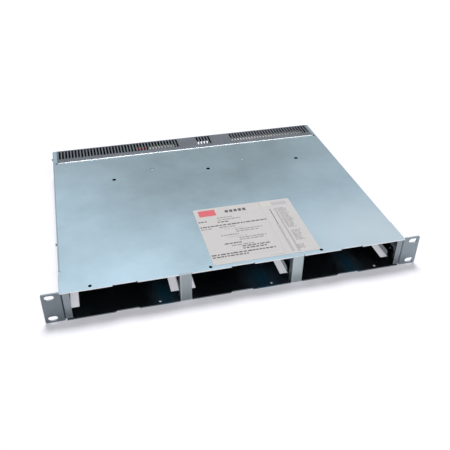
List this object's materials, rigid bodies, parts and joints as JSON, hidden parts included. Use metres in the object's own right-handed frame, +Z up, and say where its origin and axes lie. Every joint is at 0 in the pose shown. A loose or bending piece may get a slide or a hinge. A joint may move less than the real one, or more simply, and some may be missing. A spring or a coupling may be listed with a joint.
{
  "type": "rack power shelf",
  "caption": "Low rack-mount shelf of folded zinc-plated sheet with open bays for plug-in power modules, slotted ears, a vented rear strip, mains inlets and output tabs.",
  "frame": {"origin": "bottom centre of the whole shelf, on the surface it rests on", "axes": "+X to the right seen from the front, +Y from the open bays to the rear wall, +Z up"},
  "size_m": [0.4836, 0.3696, 0.044],
  "materials": {
    "shelf_steel": "zinc plated sheet, satin",
    "strip_steel": "zinc plated sheet, satin, seen darker than the cover",
    "bracket_steel": "zinc plated sheet, satin",
    "screw_steel": "zinc plated",
    "tinned_copper": "tin plated copper, satin",
    "contact_metal": "gold flashed contact",
    "pin_metal": "nickel plated brass",
    "board_laminate": "glass laminate with green mask",
    "connector_plastic": "moulded black nylon",
    "shroud_plastic": "moulded natural nylon",
    "header_plastic": "moulded white nylon",
    "cable_insulation": "grey flat cable",
    "mains_insulation": "brown lead insulation",
    "earth_insulation": "green lead insulation",
    "shell_metal": "tin plated shell",
    "capacitor_plastic": "dipped red epoxy",
    "label_film": "printed film"
  },
  "bodies": {
    "root": {"chassis_tray": "shelf_steel", "top_cover": "shelf_steel", "rear_panel": "strip_steel", "rack_ear_right": "bracket_steel", "rack_ear_left": "bracket_steel", "divider_wall_left": "shelf_steel", "divider_wall_right": "shelf_steel", "divider_post_left": "bracket_steel", "divider_post_right": "bracket_steel", "ear_screws": "screw_steel", "cover_screws": "screw_steel", "rear_panel_screws": "screw_steel", "board_screws": "screw_steel", "bar_screws": "screw_steel", "backplane_board": "board_laminate", "backplane_rail": "shelf_steel", "output_bar_positive": "tinned_copper", "output_bar_negative": "tinned_copper", "output_shroud": "shroud_plastic", "mains_leads": "mains_insulation", "earth_leads": "earth_insulation", "jack_screws": "screw_steel", "signal_board": "board_laminate", "cable_headers": "header_plastic", "flat_cable": "cable_insulation", "capacitor": "capacitor_plastic", "cover_label": "label_film", "bay_connector_left": "connector_plastic", "bay_contacts_left": "contact_metal", "bay_connector_centre": "connector_plastic", "bay_contacts_centre": "contact_metal", "bay_connector_right": "connector_plastic", "bay_contacts_right": "contact_metal", "mains_inlet_1": "connector_plastic", "inlet_pins_1": "pin_metal", "mains_inlet_2": "connector_plastic", "inlet_pins_2": "pin_metal", "mains_inlet_3": "connector_plastic", "inlet_pins_3": "pin_metal", "signal_shell_1": "shell_metal", "signal_insert_1": "connector_plastic", "signal_shell_2": "shell_metal", "signal_insert_2": "connector_plastic"}
  },
  "joints": []
}
